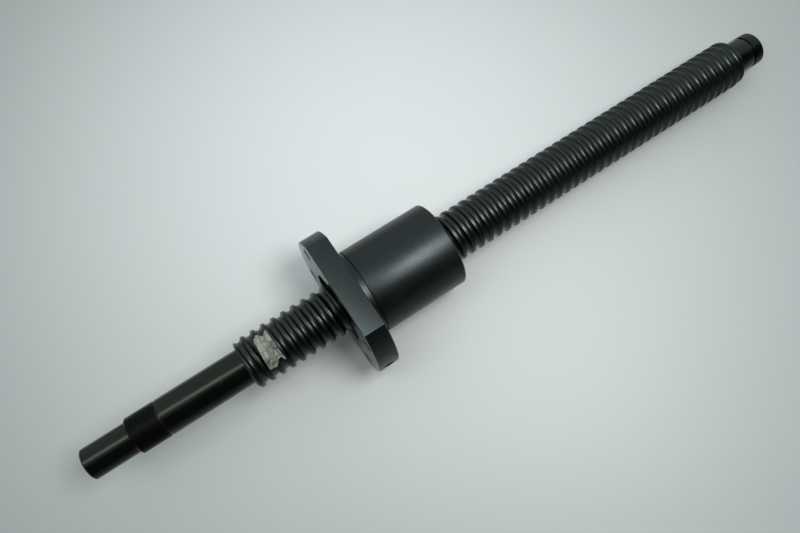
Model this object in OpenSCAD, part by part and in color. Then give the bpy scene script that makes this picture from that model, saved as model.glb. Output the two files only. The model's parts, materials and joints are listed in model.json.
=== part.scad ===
// Ball screw: a shaft with a helical ball raceway and stepped ends, and a flanged return-tube nut.
// X runs along the shaft, from the drive end to the supported end. Z is square to the flange flats.
// The origin is on the shaft's axis, in the flange's seating face.

/* [Ball thread] */
// Outside diameter of the threaded shaft
screw_d = 28; // [24:0.5:28.5]
// Travel of the nut in one turn
lead = 6; // [5.5:0.1:8]
// Length of the threaded part
thread_l = 331.5; // [200:0.5:500]
// Chamfer on the crests at either end of the thread
thread_chamfer = 1; // [0.4:0.1:1.5]
// Diameter of one ball
ball_d = 3.969; // [3:0.001:4.2]
// Diameter of the circle that the ball centres run on
ball_circle_d = 28.75; // [28.2:0.05:29.4]
// Radial play between a ball and either raceway
groove_play = 0.12; // [0.08:0.01:0.2]
// Place along X of a groove's middle, where it crosses the +Y side
groove_x = 0.685; // [0:0.005:1.5]

/* [Drive end] */
// Diameter of the coupling journal
coupling_d = 17; // [10:0.5:18]
// Length of the coupling journal
coupling_l = 24.5; // [10:0.5:60]
// Outside diameter of the locknut thread
locknut_d = 20; // [16:0.5:22]
// Length of the locknut thread with its runout groove
locknut_l = 17; // [8:0.5:30]
// Diameter at the bottom of the runout groove
runout_d = 18.6; // [14:0.1:19.6]
// Width of the runout groove
runout_w = 1.2; // [1:0.1:4]
// Diameter of the bearing journal
bearing_d = 20; // [16:0.5:23]
// Length of the bearing journal
bearing_l = 46.5; // [20:0.5:100]

/* [Supported end] */
// Diameter of the supported journal
support_d = 20; // [14:0.5:23]
// Length of the supported journal
support_l = 20; // [12:0.5:60]
// Diameter at the bottom of the snap ring groove
ring_groove_d = 19; // [12:0.1:19.6]
// Width of the snap ring groove
ring_groove_w = 1.35; // [0.9:0.05:2]
// Distance from the snap ring groove to the end face
ring_groove_end = 6.65; // [2:0.05:8]
// Chamfer on the shaft's ends
end_chamfer = 0.8; // [0.3:0.1:1.5]
// Diameter of the pilot of the centre drilling in either end face
centre_d = 2.5; // [1.6:0.1:4]

/* [Nut] */
// Outside diameter of the nut body
nut_d = 49; // [49:0.5:56]
// Length of the nut over its flange
nut_l = 65.5; // [65.5:0.5:90]
// Distance from the start of the thread to the flange's seating face, with the nut at rest
nut_place = 67.5; // [30:0.5:120]
// Play between the nut's lands and the crests of the shaft
land_play = 0.7; // [0.5:0.05:0.8]
// Width of the relief groove behind the flange
relief_w = 1.2; // [0.5:0.1:1.2]
// Depth of the relief groove
relief_depth = 1; // [0.3:0.1:1]
// Distance from the flange to the relief groove
relief_x = 2.7; // [1:0.1:2.7]
// Chamfer on the free end of the nut
nut_chamfer = 0.8; // [0.3:0.1:1.5]

/* [Flange] */
// Diameter of the flange
flange_d = 80; // [76:0.5:100]
// Thickness of the flange
flange_t = 12; // [11:0.5:20]
// Distance across the flange's two flats
flange_flats = 60; // [56:0.5:72]
// Chamfer on the flange's round edges
flange_chamfer = 0.5; // [0.2:0.1:1]
// Diameter of a bolt hole
bolt_hole_d = 7; // [5.5:0.1:7.5]
// Diameter of the circle that the bolt holes lie on
bolt_circle_d = 65; // [63:0.5:68]
// Angle of a bolt hole from the middle of its round side
bolt_angle = 30; // [24:1:32]
// Diameter of the grease port
port_d = 5; // [4:0.1:6]
// Diameter of the countersink of the grease port
port_mouth_d = 6.4; // [6.2:0.1:8]
// Depth of the grease port
port_depth = 11; // [8:0.5:12]
// Diameter of the drilling from the port to the raceway
oilway_d = 2.5; // [1.5:0.1:3]

/* [Seals] */
// Outside diameter of a wiper seal
wiper_d = 34; // [33:0.5:36]
// Thickness of a wiper seal
wiper_t = 5; // [4:0.1:5.5]
// Play between a wiper seal and the shaft
wiper_play = 0.25; // [0.2:0.05:0.4]
// Outside diameter of a seal cover ring
cover_d = 39.8; // [38:0.1:40]
// Thickness of a seal cover ring
cover_t = 1; // [0.6:0.1:1.2]
// Bore of a seal cover ring
cover_bore_d = 29.6; // [29.2:0.1:31]
// Depth of the open recess in front of the cover ring at the flange
front_recess = 2.5; // [1:0.1:2.5]
// Depth of the open recess behind the cover ring at the free end
rear_recess = 1; // [0.5:0.1:1.5]

/* [Ball return] */
// Outside diameter of a return tube
tube_d = 5.1; // [4.9:0.05:5.2]
// Wall of a return tube
tube_wall = 0.4; // [0.3:0.05:0.4]
// Radius of a return tube's bends
tube_bend_r = 7.5; // [7:0.1:8.5]
// Distance from the axis to the flat that the return tubes lie on
tube_flat = 17.3; // [17.2:0.05:17.4]
// Width of the strap that holds the return tubes, along the tubes
strap_w = 7; // [5.6:0.1:7]
// Thickness of the strap
strap_t = 0.8; // [0.5:0.1:0.8]
// Distance from the strap's middle to its free edges, across the tubes
strap_reach = 8.5; // [8:0.1:8.5]
// Diameter of the strap screw's thread
strap_screw_d = 3; // [2:0.5:3]
// Thickness of the spring washer under the strap screw
washer_t = 0.7; // [0.4:0.1:0.8]

/* [Label] */
// Crest that the torn label sticks to, counted from the start of the thread
label_crest = 2; // [1:1:8]
// Width of the label's edge on the next crest
label_edge = 0.4; // [0.3:0.1:1.5]
// Angle from the +Y side to the torn label's nearer edge
label_start = 54; // [0:18:180]
// Angle that the torn label covers round the shaft
label_angle = 90; // [36:18:144]
// Thickness of the label
label_t = 0.12; // [0.08:0.01:0.15]

/* [Hidden] */
$fn = 96;

// Steps of the faceted thread in one turn, and flanks of its groove on each side
steps = 20;
flanks = 2;
fit = 0.1;
seat = 0.05;
label_gap = 0.03;
past = 1;

// Turns of balls in a circuit, and turns of the thread from the first circuit's start to the second's
circuit_turns = 2.5;
circuit_step = 3;

thread_x0 = -nut_place;
thread_x1 = thread_x0 + thread_l;
bearing_x0 = thread_x0 - bearing_l;
locknut_x0 = bearing_x0 - locknut_l;
coupling_x0 = locknut_x0 - coupling_l;
support_x1 = thread_x1 + support_l;
flange_x0 = -flange_t;
nut_x1 = nut_l - flange_t;

ball_track_r = ball_circle_d / 2;
groove_r = ball_d / 2 + groove_play;
land_r = screw_d / 2 + land_play;
centre_mouth_d = 2.12 * centre_d;
centre_depth = 2.2 * centre_d;
centre_angle = 60;
groove_edge_angle = asin((ball_track_r - screw_d / 2) / groove_r);
groove_step_angle = (90 - groove_edge_angle) / flanks;
label_turn = floor((thread_x0 - groove_x - lead / 2) / lead) + label_crest;
race_step_angle = 90 / flanks;
last_flank = 2 * flanks;

cover_seat_x0 = flange_x0 + front_recess;
wiper_front_x0 = cover_seat_x0 + cover_t + 2 * fit;
wiper_front_x1 = wiper_front_x0 + wiper_t;
cover_rear_x1 = nut_x1 - rear_recess;
wiper_rear_x1 = cover_rear_x1 - cover_t - 2 * fit;
wiper_rear_x0 = wiper_rear_x1 - wiper_t;

circuit_span = circuit_turns * lead;
front_circuit_x = groove_x + lead;
rear_circuit_x = front_circuit_x + circuit_step * lead;
ball_pitch = ball_d + groove_play;
tube_z = -(tube_flat + seat + tube_d / 2);
tube_bore_d = tube_d - 2 * tube_wall;
tube_half_span = sqrt(pow(circuit_span / 2, 2) + pow(ball_track_r, 2));
tube_turn = atan2(circuit_span / 2, ball_track_r);
tube_leg_top = -sqrt(pow(screw_d / 2, 2) - pow(ball_track_r - tube_d / 2, 2)) - 3 * fit;
tube_run = tube_half_span - tube_bend_r;
tube_rise = -tube_z - tube_bend_r;
tube_path_l = 2 * (tube_rise + tube_run) + PI * tube_bend_r;
pocket_x0 = front_circuit_x - tube_d / 2 - 2 * fit;
pocket_x1 = rear_circuit_x + circuit_span + tube_d / 2 + 2 * fit;
strap_mid_x = (front_circuit_x + rear_circuit_x + circuit_span) / 2;
tube_spacing = circuit_step * lead * cos(tube_turn);
strap_foot = tube_spacing / 2 - tube_d / 2 - 2 * fit;
strap_crown = tube_z - tube_d / 2 - seat;
strap_screw_head_d = 1.8 * strap_screw_d;
strap_screw_head_h = 0.55 * strap_screw_d;
strap_screw_socket = 0.66 * strap_screw_d;
strap_screw_bite = 1.6;
port_x = flange_x0 / 2;
port_bottom_r = flange_d / 2 - port_depth;
oilway_x = groove_x - port_x;
oilway_rise = port_bottom_r + port_d / 4 - ball_track_r;

load_angle = 360 * circuit_turns;
load_l = circuit_turns * sqrt(pow(2 * PI * ball_track_r, 2) + pow(lead, 2));
load_count = floor(load_l / ball_pitch);
return_count = floor(tube_path_l / ball_pitch);

// The children are drawn along Z and laid along X
module along_x(x) {
    translate([x, 0, 0])
        rotate([0, 90, 0])
            children();
}

// A round bar along X from x0 to x1, with a chamfer at either end
module bar(x0, x1, d, chamfer_0 = 0, chamfer_1 = 0) {
    along_x(0)
        rotate_extrude()
            polygon([
                [0, x0],
                [d / 2 - chamfer_0, x0],
                [d / 2, x0 + chamfer_0],
                [d / 2, x1 - chamfer_1],
                [d / 2 - chamfer_1, x1],
                [0, x1]
            ]);
}

// A round hole or groove wall along X from x0 to x1
module drill(x0, x1, d) {
    along_x(x0)
        cylinder(h = x1 - x0, d = d);
}

// The shaft's profile over one pitch: the groove's points from crest to crest, as [place along X, radius].
// With a play above 0 it is the profile of a hole round the shaft, whose facets touch the grown radii.
function groove_point(k, play) =
    let (
        angle = groove_edge_angle + k * groove_step_angle,
        edge = k == 0 || k == last_flank,
        r = edge ? groove_r : groove_r / cos(groove_step_angle / 2),
        radius = ball_track_r - r * sin(angle) + play
    )
    [-r * cos(angle), play > 0 ? radius / cos(180 / steps) : radius];

// The nut's raceway: the same groove turned outwards, as [place along X, radius]
function race_point(k) =
    let (angle = k * race_step_angle, r = groove_r / cos(race_step_angle / 2))
    [-r * cos(angle), (ball_track_r + r * sin(angle)) / cos(180 / steps)];

// A profile point carried along the helix by whole steps
function on_helix(i, point) =
    [groove_x + lead * i / steps + point.x,
     point.y * cos(360 * i / steps),
     point.y * sin(360 * i / steps)];

// A threaded core that reaches past x0 and x1, with its radii grown by a play
module thread_core(x0, x1, play = 0) {
    m = last_flank + 1;
    i0 = floor((x0 - groove_x - lead) / lead * steps);
    i1 = ceil((x1 - groove_x + lead) / lead * steps);
    count = i1 - i0;
    tail = (count + 1) * m;
    hub = tail + steps;
    points = concat(
        [for (i = [0 : count], k = [0 : m - 1]) on_helix(i0 + i, groove_point(k, play))],
        [for (i = [1 : steps]) on_helix(i1 + i, groove_point(0, play))],
        [[groove_x + lead * (i0 / steps + 0.5), 0, 0], [groove_x + lead * (i1 / steps + 0.5), 0, 0]]
    );
    function at(i, k) = k < m ? i * m + k : i + steps <= count ? (i + steps) * m : tail + i + steps - count - 1;
    first_loop = concat([for (i = [0 : steps]) at(i, 0)], [for (k = [m - 1 : -1 : 1]) at(0, k)]);
    last_loop = concat([for (k = [0 : m]) at(count, k)],
                       [for (i = [steps - 1 : -1 : 1]) tail + i - 1]);
    faces = concat(
        [for (i = [0 : count - 1], k = [0 : m - 1]) [at(i, k), at(i, k + 1), at(i + 1, k)]],
        [for (i = [0 : count - 1], k = [0 : m - 1]) [at(i, k + 1), at(i + 1, k + 1), at(i + 1, k)]],
        [for (i = [0 : len(first_loop) - 1])
            [first_loop[i], first_loop[(i + 1) % len(first_loop)], hub]],
        [for (i = [0 : len(last_loop) - 1])
            [last_loop[i], last_loop[(i + 1) % len(last_loop)], hub + 1]]
    );
    polyhedron(points, faces);
}

// A profile of [place along X, radius] points carried along the helix from step i0 to step i1
module helix_sweep(profile, i0, i1) {
    m = len(profile);
    count = i1 - i0;
    points = [for (i = [0 : count], k = [0 : m - 1]) on_helix(i0 + i, profile[k])];
    faces = concat(
        [for (i = [0 : count - 1], k = [0 : m - 1]) [i * m + k, i * m + (k + 1) % m, (i + 1) * m + k]],
        [for (i = [0 : count - 1], k = [0 : m - 1])
            [i * m + (k + 1) % m, (i + 1) * m + (k + 1) % m, (i + 1) * m + k]],
        [[for (k = [m - 1 : -1 : 0]) k]],
        [[for (k = [0 : m - 1]) count * m + k]]
    );
    polyhedron(points, faces);
}

// The helical raceway cut into the nut, from x0 to x1
module race_cut(x0, x1) {
    helix_sweep([for (k = [0 : last_flank]) race_point(k)],
                floor((x0 - groove_x) / lead * steps),
                ceil((x1 - groove_x) / lead * steps));
}

// A groove turned into a bar, from x0 to x1, down to a diameter
module turned_groove(x0, x1, outer_d, bottom_d) {
    difference() {
        drill(x0, x1, outer_d + past);
        drill(x0, x1, bottom_d);
    }
}

// The centre drilling of an end face at x, with side 1 where it runs towards +X and -1 towards -X
module centre_drilling(x, side) {
    spread = tan(centre_angle / 2);
    cone_h = (centre_mouth_d - centre_d) / 2 / spread;
    translate([x, 0, 0])
        rotate([0, side * 90, 0]) {
            translate([0, 0, -past])
                cylinder(h = cone_h + past, d1 = centre_mouth_d + 2 * past * spread, d2 = centre_d);
            cylinder(h = centre_depth, d = centre_d);
        }
}

// The shaft is one piece: each journal reaches a little way into the core of the thread
module screw_shaft() {
    crest_cut = thread_chamfer + past;
    color([0.16, 0.17, 0.18])
        difference() {
            union() {
                intersection() {
                    thread_core(thread_x0, thread_x1);
                    bar(thread_x0, thread_x1, screw_d + 2 * past, crest_cut, crest_cut);
                }
                bar(coupling_x0, locknut_x0 + past, coupling_d, end_chamfer);
                bar(locknut_x0, bearing_x0, locknut_d, end_chamfer);
                bar(bearing_x0, thread_x0 + past, bearing_d);
                bar(thread_x1 - past, support_x1, support_d, 0, end_chamfer);
            }
            turned_groove(bearing_x0 - runout_w, bearing_x0, locknut_d, runout_d);
            turned_groove(support_x1 - ring_groove_end - ring_groove_w, support_x1 - ring_groove_end,
                          support_d, ring_groove_d);
            centre_drilling(coupling_x0, 1);
            centre_drilling(support_x1, -1);
        }
}

// The nut's turned outline, as [radius, place along X]
module nut_blank() {
    flange_r = flange_d / 2;
    nut_r = nut_d / 2;
    along_x(0)
        rotate_extrude()
            polygon([
                [0, flange_x0],
                [flange_r - flange_chamfer, flange_x0],
                [flange_r, flange_x0 + flange_chamfer],
                [flange_r, -flange_chamfer],
                [flange_r - flange_chamfer, 0],
                [nut_r, 0],
                [nut_r, relief_x],
                [nut_r - relief_depth, relief_x],
                [nut_r - relief_depth, relief_x + relief_w],
                [nut_r, relief_x + relief_w],
                [nut_r, nut_x1 - nut_chamfer],
                [nut_r - nut_chamfer, nut_x1],
                [0, nut_x1]
            ]);
}

// The stepped hole through the nut: cover seats, wiper seats and the lands between the raceway's turns
module nut_bore() {
    drill(flange_x0 - past, wiper_front_x0, cover_d + 2 * fit);
    drill(wiper_front_x0 - past, wiper_front_x1, wiper_d + 2 * seat);
    drill(wiper_front_x1 - past, wiper_rear_x0 + past, 2 * land_r);
    drill(wiper_rear_x0, wiper_rear_x1 + past, wiper_d + 2 * seat);
    drill(wiper_rear_x1, nut_x1 + past, cover_d + 2 * fit);
    race_cut(wiper_front_x1 - lead / 2, wiper_rear_x0 + lead / 2);
}

module flange_holes() {
    for (side = [-1, 1], up = [-1, 1])
        translate([0, side * bolt_circle_d / 2 * cos(bolt_angle), up * bolt_circle_d / 2 * sin(bolt_angle)])
            drill(flange_x0 - past, past, bolt_hole_d);
}

// The grease port in the middle of the flange's -Y side, with a slanted drilling to the raceway
module grease_port() {
    mouth_h = (port_mouth_d - port_d) / 2;
    translate([port_x, -flange_d / 2, 0])
        rotate([-90, 0, 0]) {
            translate([0, 0, -past])
                cylinder(h = port_depth + past, d = port_d);
            cylinder(h = mouth_h, d1 = port_mouth_d, d2 = port_d);
            translate([0, 0, -past])
                cylinder(h = past, d = port_mouth_d);
        }
    translate([port_x, -port_bottom_r - port_d / 4, 0])
        rotate([-90, 0, -atan2(oilway_x, oilway_rise)])
            cylinder(h = sqrt(pow(oilway_x, 2) + pow(oilway_rise, 2)), d = oilway_d);
}

// A return tube's course: two legs along the ball track's tangents, two bends and a run across the nut.
// It is drawn over the origin, with its run along X.
module tube_course(d, leg_top) {
    for (turn = [0, 180])
        rotate([0, 0, turn]) {
            translate([tube_half_span, 0, -tube_rise])
                cylinder(h = tube_rise + leg_top, d = d);
            translate([tube_run, 0, -tube_rise])
                rotate([-90, 0, 0])
                    rotate_extrude(angle = 90)
                        translate([tube_bend_r, 0])
                            circle(d = d);
        }
    translate([-tube_run, 0, tube_z])
        rotate([0, 90, 0])
            cylinder(h = 2 * tube_run, d = d);
}

// Places its children on a circuit that starts at x on the +Y side
module at_circuit(x) {
    translate([x + circuit_span / 2, 0, 0])
        rotate([0, 0, 90 + tube_turn])
            children();
}

// The flat under the return tubes, their seats and the ball passages to the raceway
module return_pocket() {
    translate([pocket_x0, -nut_d, -nut_d])
        cube([pocket_x1 - pocket_x0, 2 * nut_d, nut_d - tube_flat]);
    for (x = [front_circuit_x, rear_circuit_x])
        at_circuit(x) {
            tube_course(tube_d + 2 * seat, tube_leg_top);
            for (side = [-1, 1])
                translate([side * tube_half_span, 0, tube_leg_top - past])
                    cylinder(h = past - tube_leg_top, d = tube_bore_d);
        }
    translate([strap_mid_x, 0, -tube_flat - past])
        cylinder(h = past + tube_flat - land_r, d = strap_screw_d);
}

module nut_body() {
    color([0.2, 0.21, 0.22])
        difference() {
            intersection() {
                nut_blank();
                translate([flange_x0 - past, -flange_d, -flange_flats / 2])
                    cube([nut_l + 2 * past, 2 * flange_d, flange_flats]);
            }
            nut_bore();
            flange_holes();
            grease_port();
            return_pocket();
        }
}

module wiper(x0) {
    color([0.12, 0.12, 0.12])
        difference() {
            drill(x0, x0 + wiper_t, wiper_d);
            thread_core(x0, x0 + wiper_t, wiper_play);
        }
}

module seal_cover(x0) {
    color([0.3, 0.31, 0.32])
        difference() {
            drill(x0, x0 + cover_t, cover_d);
            drill(x0 - past, x0 + cover_t + past, cover_bore_d);
        }
}

module return_tube(x) {
    color([0.55, 0.56, 0.58])
        at_circuit(x)
            difference() {
                tube_course(tube_d, tube_leg_top);
                tube_course(tube_bore_d, tube_leg_top + past);
            }
}

// The strap over both return tubes, bent down to the flat between them
module tube_strap() {
    color([0.5, 0.51, 0.53])
        translate([strap_mid_x, 0, 0])
            rotate([0, 0, tube_turn])
                difference() {
                    rotate([90, 0, 0])
                        translate([0, 0, -strap_w / 2])
                            linear_extrude(strap_w)
                                polygon([
                                    [-strap_reach, strap_crown],
                                    [-strap_foot, strap_crown],
                                    [-strap_foot, -tube_flat],
                                    [strap_foot, -tube_flat],
                                    [strap_foot, strap_crown],
                                    [strap_reach, strap_crown],
                                    [strap_reach, strap_crown - strap_t],
                                    [strap_foot - strap_t, strap_crown - strap_t],
                                    [strap_foot - strap_t, -tube_flat - strap_t],
                                    [strap_t - strap_foot, -tube_flat - strap_t],
                                    [strap_t - strap_foot, strap_crown - strap_t],
                                    [-strap_reach, strap_crown - strap_t]
                                ]);
                    translate([0, 0, -tube_flat - strap_t - past])
                        cylinder(h = strap_t + 2 * past, d = strap_screw_d + 2 * fit);
                }
}

module strap_washer() {
    color([0.6, 0.61, 0.63])
        translate([strap_mid_x, 0, -tube_flat - strap_t - washer_t])
            difference() {
                cylinder(h = washer_t, d = strap_screw_head_d);
                translate([0, 0, -past])
                    cylinder(h = washer_t + 2 * past, d = strap_screw_d + 2 * fit);
            }
}

module strap_screw() {
    under_head = -tube_flat - strap_t - washer_t;
    color([0.4, 0.41, 0.43])
        translate([strap_mid_x, 0, under_head])
            difference() {
                union() {
                    translate([0, 0, -strap_screw_head_h])
                        cylinder(h = strap_screw_head_h, d = strap_screw_head_d);
                    cylinder(h = strap_t + washer_t + strap_screw_bite, d = strap_screw_d - 2 * seat);
                }
                translate([0, 0, -strap_screw_head_h - past])
                    cylinder(h = past + strap_screw_head_h / 2, d = strap_screw_socket, $fn = 6);
            }
}

module ball() {
    sphere(d = ball_d);
}

// The balls between shaft and nut, from one angle of a circuit to another
module load_balls(x, angle_0, angle_1) {
    step = load_angle / load_count;
    color([0.75, 0.76, 0.78])
        for (k = [0 : load_count - 1])
            let (angle = (k + 0.5) * step)
                if (angle >= angle_0 && angle < angle_1)
                    translate([x + lead * angle / 360, ball_track_r * cos(angle), ball_track_r * sin(angle)])
                        ball();
}

// A place on the return course, as [distance across, height], at a distance s along it from the -X leg's top
function return_point(s) =
    let (bend_l = PI / 2 * tube_bend_r, a = s - tube_rise, b = a - bend_l, c = b - 2 * tube_run, d = c - bend_l)
    a < 0 ? [tube_half_span, -s]
    : b < 0 ? [tube_run + tube_bend_r * cos(a / tube_bend_r * 180 / PI),
               -tube_rise - tube_bend_r * sin(a / tube_bend_r * 180 / PI)]
    : c < 0 ? [tube_run - b, tube_z]
    : d < 0 ? [-tube_run - tube_bend_r * sin(c / tube_bend_r * 180 / PI),
               -tube_rise - tube_bend_r * cos(c / tube_bend_r * 180 / PI)]
    : [-tube_half_span, d - tube_rise];

// The balls on their way back through a return tube
module return_balls(x) {
    color([0.75, 0.76, 0.78])
        at_circuit(x)
            for (k = [0 : return_count - 1])
                let (place = return_point((k + 0.5) * tube_path_l / return_count))
                    translate([place.x, 0, place.y])
                        ball();
}

// A strip of the label on a crest, between two places in a pitch
module label_strip(a, b) {
    bottom_r = screw_d / 2 + label_gap;
    top_r = bottom_r + label_t;
    i0 = label_turn * steps + round(label_start / 360 * steps);
    helix_sweep([[a, bottom_r], [a, top_r], [b, top_r], [b, bottom_r]],
                i0, i0 + round(label_angle / 360 * steps));
}

// What still sticks of the torn label: a strip along one crest, and the edge that reaches the next crest
module label_remnant() {
    half_crest = lead / 2 - groove_r * cos(groove_edge_angle) - seat;
    color([0.8, 0.8, 0.74]) {
        label_strip(lead / 2 - half_crest, lead / 2 + half_crest);
        label_strip(lead * 3 / 2 - half_crest, lead * 3 / 2 - half_crest + label_edge);
    }
}

screw_shaft();
nut_body();
wiper(wiper_front_x0);  // wiper_front
wiper(wiper_rear_x0);  // wiper_rear
seal_cover(cover_seat_x0);  // seal_cover_front
seal_cover(cover_rear_x1 - cover_t);  // seal_cover_rear
return_tube(front_circuit_x);  // return_tube_front
return_tube(rear_circuit_x);  // return_tube_rear
tube_strap();
strap_screw();
strap_washer();
load_balls(front_circuit_x, 0, 360);  // balls_front_turn_1
load_balls(front_circuit_x, 360, 720);  // balls_front_turn_2
load_balls(front_circuit_x, 720, load_angle);  // balls_front_half_turn
return_balls(front_circuit_x);  // balls_front_return
load_balls(rear_circuit_x, 0, 360);  // balls_rear_turn_1
load_balls(rear_circuit_x, 360, 720);  // balls_rear_turn_2
load_balls(rear_circuit_x, 720, load_angle);  // balls_rear_half_turn
return_balls(rear_circuit_x);  // balls_rear_return
label_remnant();
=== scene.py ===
"""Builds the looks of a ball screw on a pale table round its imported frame."""
import json
import math

import bmesh
import bpy
from mathutils import Euler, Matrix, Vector, noise


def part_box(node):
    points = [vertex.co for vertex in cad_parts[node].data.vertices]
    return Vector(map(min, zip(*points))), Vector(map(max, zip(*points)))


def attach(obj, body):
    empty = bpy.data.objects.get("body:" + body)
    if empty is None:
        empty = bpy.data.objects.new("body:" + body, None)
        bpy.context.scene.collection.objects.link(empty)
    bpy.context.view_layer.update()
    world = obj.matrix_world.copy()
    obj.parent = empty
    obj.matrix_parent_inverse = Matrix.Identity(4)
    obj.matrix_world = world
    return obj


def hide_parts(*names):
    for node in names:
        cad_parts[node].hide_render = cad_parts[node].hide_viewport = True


bl_info = {
    "name": "Ball Screw",
    "version": (1, 0, 0),
    "blender": (4, 5, 0),
    "location": "View3D > Sidebar > Ball Screw",
    "description": "Adds the shaft, the nut and the finishes of a ball screw, and a pale table",
    "category": "Add Mesh",
}

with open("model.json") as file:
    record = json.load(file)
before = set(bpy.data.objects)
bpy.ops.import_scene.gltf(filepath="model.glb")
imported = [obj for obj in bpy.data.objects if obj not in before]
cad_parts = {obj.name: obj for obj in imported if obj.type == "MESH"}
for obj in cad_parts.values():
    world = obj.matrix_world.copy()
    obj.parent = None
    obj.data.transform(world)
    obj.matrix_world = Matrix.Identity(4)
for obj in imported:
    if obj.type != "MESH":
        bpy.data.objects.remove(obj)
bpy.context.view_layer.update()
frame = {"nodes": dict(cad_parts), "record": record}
NODES = frame["nodes"]
MM = 0.001  # a millimetre, in Blender's metres
FULL_TURN = 2 * math.pi
HALF_FLANK = math.radians(30)  # half the angle of a centre hole's cone and of the locknut thread
CLOSE = 1e-6  # points nearer than this are one point
CLOSER = CLOSE / 10  # edges shorter than this are dissolved
RIM_REACH = 5 * CLOSE  # how far the points of a cut rim may lie from its plane
SMOOTH_ANGLE = 32  # edges that turn by fewer degrees are shaded smooth
STEPS_ROUND = 128  # segments of a turned surface
STEPS_NUT = 160  # segments of the nut's turned surfaces
STEPS_THREAD = 64  # segments of the ball thread in one turn
STEPS_FINE = 64  # segments of the locknut thread in one turn
STEPS_HOLE = 64  # segments of the flange's holes
STEPS_DRILL = 48  # segments of the inner passages


# Modelling


def deselect_all():
    """Leaves edit mode and clears the selection."""
    if bpy.context.object and bpy.context.object.mode != "OBJECT":
        bpy.ops.object.mode_set(mode="OBJECT")
    bpy.ops.object.select_all(action="DESELECT")


def activate(piece):
    """Makes a piece the only selected object."""
    deselect_all()
    piece.select_set(True)
    bpy.context.view_layer.objects.active = piece


def edit(piece):
    """Opens a piece in edit mode with everything selected."""
    activate(piece)
    bpy.ops.object.mode_set(mode="EDIT")
    bpy.ops.mesh.select_mode(type="VERT")
    bpy.ops.mesh.select_all(action="SELECT")


def pick(piece, kind, test):
    """Selects the edges or faces of a piece in edit mode that pass a test, and nothing else."""
    bpy.ops.mesh.select_mode(type=kind)
    bpy.ops.mesh.select_all(action="DESELECT")
    mesh = bmesh.from_edit_mesh(piece.data)
    found = 0
    for element in mesh.edges if kind == "EDGE" else mesh.faces:
        if test(element):
            element.select_set(True)
            found += 1
    bmesh.update_edit_mesh(piece.data)
    if not found:
        raise RuntimeError(f"{piece.name}: nothing to pick")


def tidy(piece):
    """Welds a piece's doubles and turns its faces outwards."""
    edit(piece)
    bpy.ops.mesh.remove_doubles(threshold=CLOSE)
    bpy.ops.mesh.dissolve_degenerate(threshold=CLOSER)
    bpy.ops.mesh.select_all(action="SELECT")
    bpy.ops.mesh.normals_make_consistent(inside=False)
    bpy.ops.object.mode_set(mode="OBJECT")


def outline(name, points):
    """A line extruded from one vertex, through points of (place along X, radius) in millimetres."""
    places = [Vector((x * MM, r * MM, 0)) for x, r in points]
    deselect_all()
    bpy.ops.mesh.primitive_plane_add(size=MM)
    piece = bpy.context.object
    piece.name = piece.data.name = name
    edit(piece)
    bpy.ops.mesh.merge(type="CENTER")
    bpy.ops.transform.translate(value=places[0])
    for start, end in zip(places, places[1:]):
        bpy.ops.mesh.extrude_region_move(TRANSFORM_OT_translate={"value": end - start})
    bpy.ops.object.mode_set(mode="OBJECT")
    return piece


def lathe(name, points, steps=STEPS_ROUND):
    """A turned body: the outline spun round the X axis."""
    piece = outline(name, points)
    edit(piece)
    bpy.ops.mesh.spin(steps=steps, angle=FULL_TURN, center=(0, 0, 0), axis=(1, 0, 0))
    tidy(piece)
    return piece


def apply_modifier(piece, kind, **settings):
    """Adds a modifier with its settings and applies it."""
    activate(piece)
    modifier = piece.modifiers.new(kind.title(), kind)
    for key, value in settings.items():
        setattr(modifier, key, value)
    bpy.ops.object.modifier_apply(modifier=modifier.name)


def wind(name, profile, pitch, turns, steps):
    """A profile carried along a right-handed helix round the X axis."""
    piece = outline(name, profile)
    apply_modifier(
        piece,
        "SCREW",
        axis="X",
        angle=FULL_TURN,
        screw_offset=pitch * MM,
        iterations=turns,
        steps=steps,
        render_steps=steps,
        use_merge_vertices=True,
        merge_threshold=CLOSE,
    )
    tidy(piece)
    return piece


def tidy_open(piece):
    """Turns the faces of an open sheet round the shaft outwards."""
    edit(piece)
    bpy.ops.mesh.normals_make_consistent(inside=False)
    face = bmesh.from_edit_mesh(piece.data).faces[:][0]
    middle = face.calc_center_median()
    inwards = face.normal.y * middle.y + face.normal.z * middle.z < 0
    if inwards:
        bpy.ops.mesh.flip_normals()
    bpy.ops.object.mode_set(mode="OBJECT")


def cut_away(piece, normal, distance, fill=True):
    """Takes off what lies beyond a plane, given by its normal and its distance in millimetres."""
    edit(piece)
    bpy.ops.mesh.bisect(
        plane_co=Vector(normal) * distance * MM,
        plane_no=normal,
        clear_outer=True,
        use_fill=fill,
        threshold=CLOSER,
    )
    bpy.ops.object.mode_set(mode="OBJECT")


def carve(piece, cutter):
    """Takes a cutter out of a piece and deletes the cutter."""
    apply_modifier(piece, "BOOLEAN", object=cutter, operation="DIFFERENCE", solver="EXACT")
    bpy.data.objects.remove(cutter)
    return piece


def placed(piece, place, turn=0.0, axis="Z"):
    """Moves a cutter to a place in millimetres, turned by some degrees round an axis."""
    piece.location = Vector(place) * MM
    piece.rotation_euler.rotate_axis(axis, math.radians(turn))
    return piece


def box(size, place, turn=0.0, axis="Z"):
    """A box cutter with its middle at a place, in millimetres."""
    deselect_all()
    bpy.ops.mesh.primitive_cube_add(size=MM)
    piece = bpy.context.object
    piece.scale = size
    return placed(piece, place, turn, axis)


def drill(length, r, place, turn=0.0, axis="Z"):
    """A round cutter that runs from a place along the turned X axis, in millimetres."""
    cutter = lathe("drill", [(0, 0), (0, r), (length, r), (length, 0)], STEPS_DRILL)
    return placed(cutter, place, turn, axis)


def join(piece, *others):
    """Makes others part of a piece."""
    activate(piece)
    for other in others:
        other.select_set(True)
    bpy.ops.object.join()
    return piece


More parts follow.
